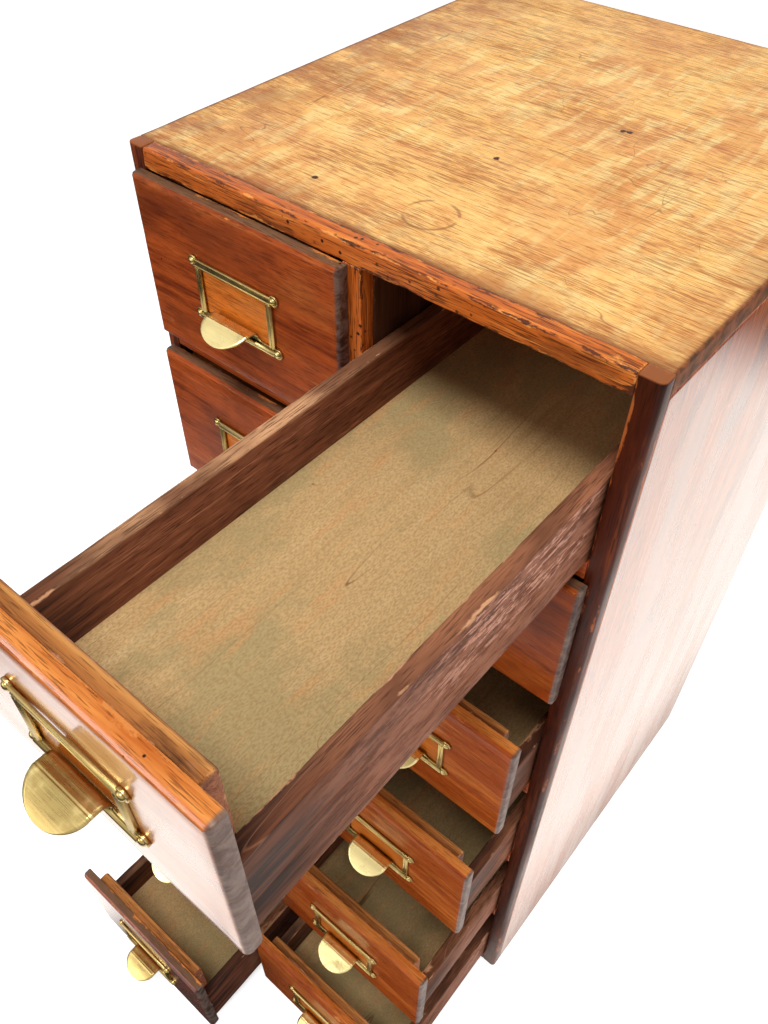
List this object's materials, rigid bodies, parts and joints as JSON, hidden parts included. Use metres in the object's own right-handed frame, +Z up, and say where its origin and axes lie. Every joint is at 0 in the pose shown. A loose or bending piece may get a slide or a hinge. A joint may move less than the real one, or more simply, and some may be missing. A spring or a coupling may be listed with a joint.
{
  "type": "index card cabinet",
  "caption": "Tall narrow wooden cabinet of small drawers for index cards, each sliding out on its own by a brass card frame with a finger pull.",
  "frame": {"origin": "centre of the cabinet's base", "axes": "+Z up, -Y the drawer fronts, +X to the right seen from the front"},
  "size_m": [0.35, 0.6586, 0.769],
  "materials": {
    "top_wood": "satin",
    "side_wood": "satin",
    "stile_wood": "satin",
    "lipping_wood": "satin",
    "rail_wood": "satin",
    "inner_wood": "satin",
    "back_wood": "satin",
    "face_wood": "satin",
    "box_wood": "satin",
    "floor_wood": "satin",
    "brass": "aged"
  },
  "bodies": {
    "cabinet": {"top_panel": "top_wood", "bottom_panel": "inner_wood", "left_side_panel": "side_wood", "right_side_panel": "side_wood", "centre_partition": "inner_wood", "back_panel": "back_wood", "top_lipping": "lipping_wood", "left_stile": "stile_wood", "right_stile": "stile_wood", "partition_lipping": "lipping_wood", "drawer_rails": "rail_wood", "drawer_runners": "inner_wood"},
    "left_drawer_1": {"left_drawer_1_face": "face_wood", "left_drawer_1_box": "box_wood", "left_drawer_1_floor": "floor_wood", "left_drawer_1_card_frame": "brass"},
    "left_drawer_2": {"left_drawer_2_face": "face_wood", "left_drawer_2_box": "box_wood", "left_drawer_2_floor": "floor_wood", "left_drawer_2_card_frame": "brass"},
    "left_drawer_3": {"left_drawer_3_face": "face_wood", "left_drawer_3_box": "box_wood", "left_drawer_3_floor": "floor_wood", "left_drawer_3_card_frame": "brass"},
    "left_drawer_4": {"left_drawer_4_face": "face_wood", "left_drawer_4_box": "box_wood", "left_drawer_4_floor": "floor_wood", "left_drawer_4_card_frame": "brass"},
    "left_drawer_5": {"left_drawer_5_face": "face_wood", "left_drawer_5_box": "box_wood", "left_drawer_5_floor": "floor_wood", "left_drawer_5_card_frame": "brass"},
    "left_drawer_6": {"left_drawer_6_face": "face_wood", "left_drawer_6_box": "box_wood", "left_drawer_6_floor": "floor_wood", "left_drawer_6_card_frame": "brass"},
    "right_drawer_1": {"right_drawer_1_face": "face_wood", "right_drawer_1_box": "box_wood", "right_drawer_1_floor": "floor_wood", "right_drawer_1_card_frame": "brass"},
    "right_drawer_2": {"right_drawer_2_face": "face_wood", "right_drawer_2_box": "box_wood", "right_drawer_2_floor": "floor_wood", "right_drawer_2_card_frame": "brass"},
    "right_drawer_3": {"right_drawer_3_face": "face_wood", "right_drawer_3_box": "box_wood", "right_drawer_3_floor": "floor_wood", "right_drawer_3_card_frame": "brass"},
    "right_drawer_4": {"right_drawer_4_face": "face_wood", "right_drawer_4_box": "box_wood", "right_drawer_4_floor": "floor_wood", "right_drawer_4_card_frame": "brass"},
    "right_drawer_5": {"right_drawer_5_face": "face_wood", "right_drawer_5_box": "box_wood", "right_drawer_5_floor": "floor_wood", "right_drawer_5_card_frame": "brass"},
    "right_drawer_6": {"right_drawer_6_face": "face_wood", "right_drawer_6_box": "box_wood", "right_drawer_6_floor": "floor_wood", "right_drawer_6_card_frame": "brass"}
  },
  "joints": [
    {"name": "left_drawer_1_slide", "type": "slide", "parent": "cabinet", "child": "left_drawer_1", "axis": [0, -1, 0], "range_m": [0, 0.3]},
    {"name": "left_drawer_2_slide", "type": "slide", "parent": "cabinet", "child": "left_drawer_2", "axis": [0, -1, 0], "range_m": [-0.002, 0.298]},
    {"name": "left_drawer_3_slide", "type": "slide", "parent": "cabinet", "child": "left_drawer_3", "axis": [0, -1, 0], "range_m": [-0.0655, 0.2345]},
    {"name": "left_drawer_4_slide", "type": "slide", "parent": "cabinet", "child": "left_drawer_4", "axis": [0, -1, 0], "range_m": [-0.11, 0.19]},
    {"name": "left_drawer_5_slide", "type": "slide", "parent": "cabinet", "child": "left_drawer_5", "axis": [0, -1, 0], "range_m": [-0.157, 0.143]},
    {"name": "left_drawer_6_slide", "type": "slide", "parent": "cabinet", "child": "left_drawer_6", "axis": [0, -1, 0], "range_m": [-0.218, 0.082]},
    {"name": "right_drawer_1_slide", "type": "slide", "parent": "cabinet", "child": "right_drawer_1", "axis": [0, -1, 0], "range_m": [-0.241, 0.059]},
    {"name": "right_drawer_2_slide", "type": "slide", "parent": "cabinet", "child": "right_drawer_2", "axis": [0, -1, 0], "range_m": [-0.0012, 0.2988]},
    {"name": "right_drawer_3_slide", "type": "slide", "parent": "cabinet", "child": "right_drawer_3", "axis": [0, -1, 0], "range_m": [-0.0375, 0.2625]},
    {"name": "right_drawer_4_slide", "type": "slide", "parent": "cabinet", "child": "right_drawer_4", "axis": [0, -1, 0], "range_m": [-0.0705, 0.2295]},
    {"name": "right_drawer_5_slide", "type": "slide", "parent": "cabinet", "child": "right_drawer_5", "axis": [0, -1, 0], "range_m": [-0.114, 0.186]},
    {"name": "right_drawer_6_slide", "type": "slide", "parent": "cabinet", "child": "right_drawer_6", "axis": [0, -1, 0], "range_m": [-0.1525, 0.1475]}
  ]
}
